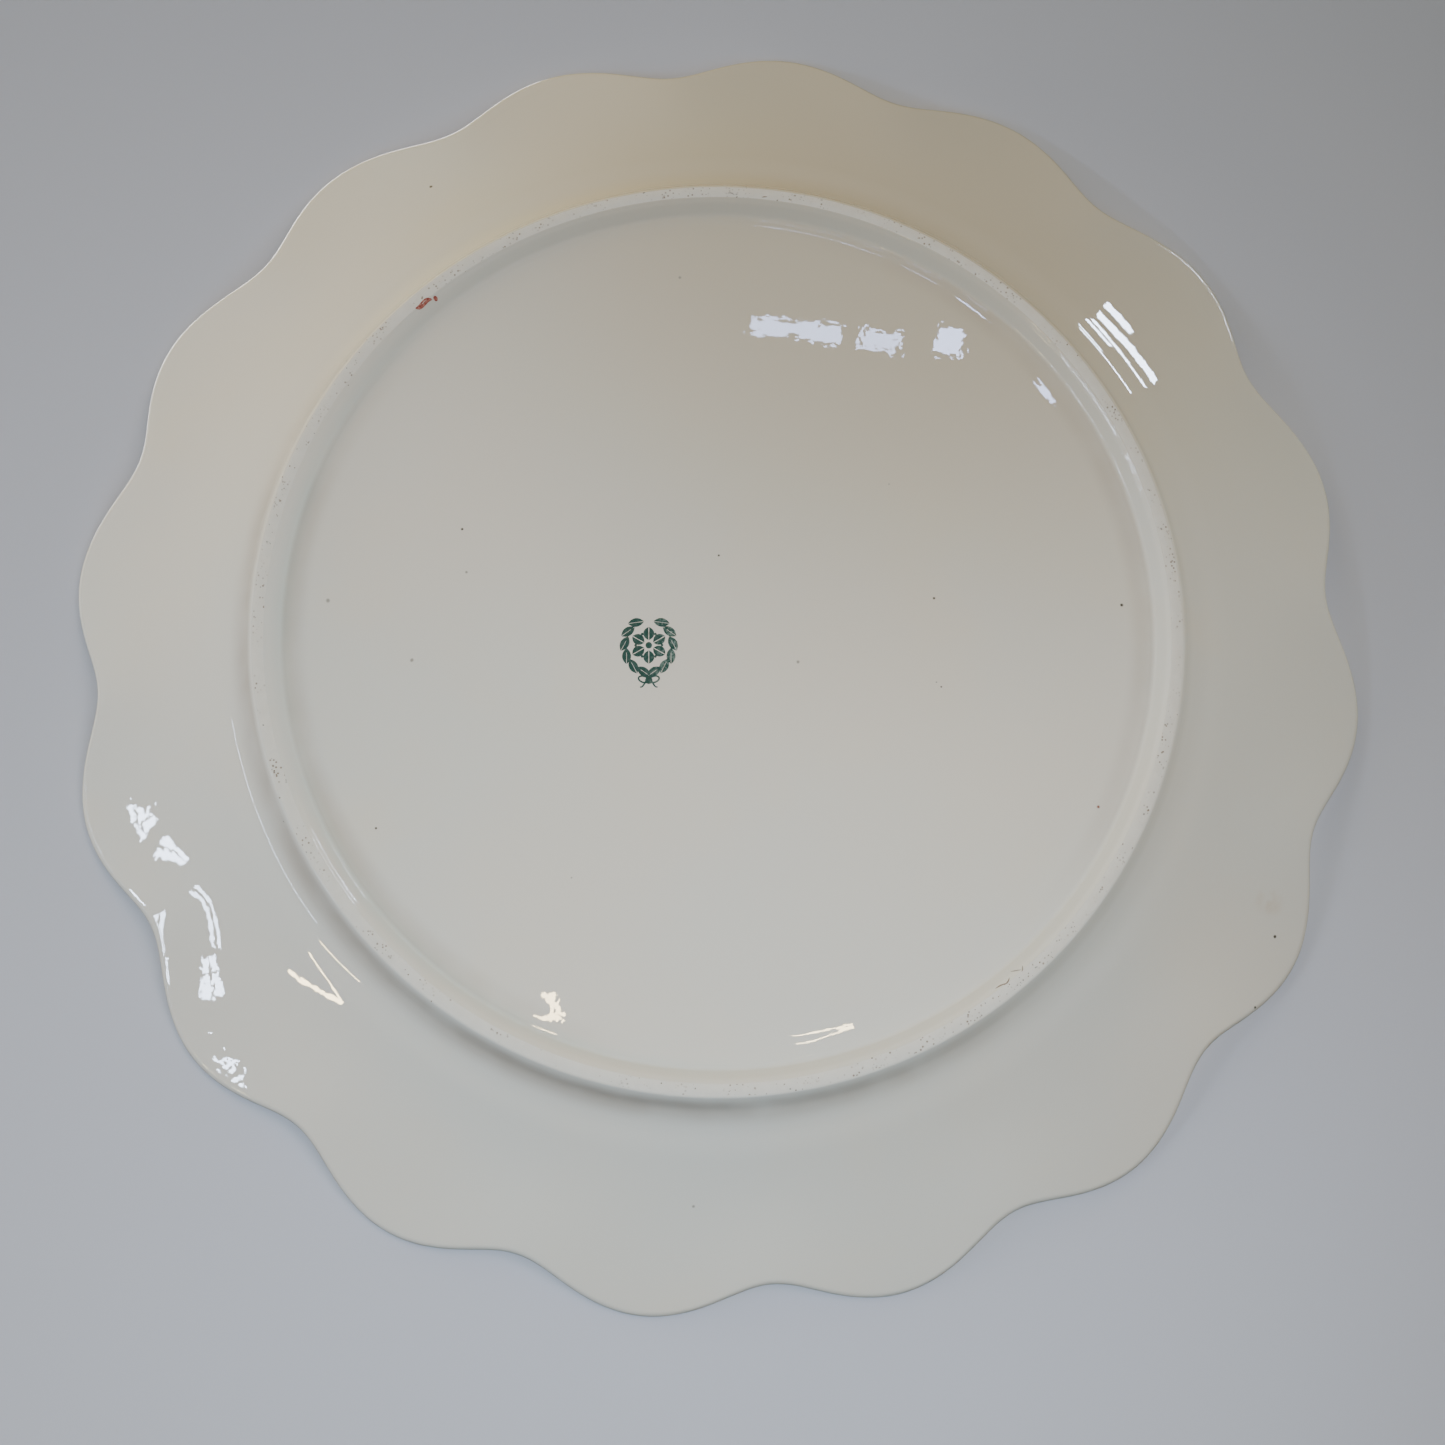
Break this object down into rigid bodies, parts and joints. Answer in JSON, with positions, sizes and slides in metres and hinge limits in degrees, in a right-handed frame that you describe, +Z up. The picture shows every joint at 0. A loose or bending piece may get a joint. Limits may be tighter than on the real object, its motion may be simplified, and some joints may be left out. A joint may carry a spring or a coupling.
{
  "type": "serving platter",
  "caption": "Round china serving platter with a scalloped upturned rim, a shallow well and a standing foot ring with a bare ground seat.",
  "frame": {"origin": "centre of the foot ring's ground seat, where the platter stands", "axes": "+Z up out of the food face along the axis of the foot ring, +X and +Y each through the tip of a rim lobe"},
  "size_m": [0.266, 0.266, 0.027],
  "materials": {
    "china": "clear gloss glaze over warm white bone china",
    "bare_china": "matt, ground and unglazed",
    "green_print": "fired-on dark green print"
  },
  "bodies": {
    "root": {"well": "china", "cavetto": "china", "rim": "china", "foot_ring": "china", "foot_seat": "bare_china", "backstamp_wreath": "green_print", "backstamp_flower": "green_print"}
  },
  "joints": []
}
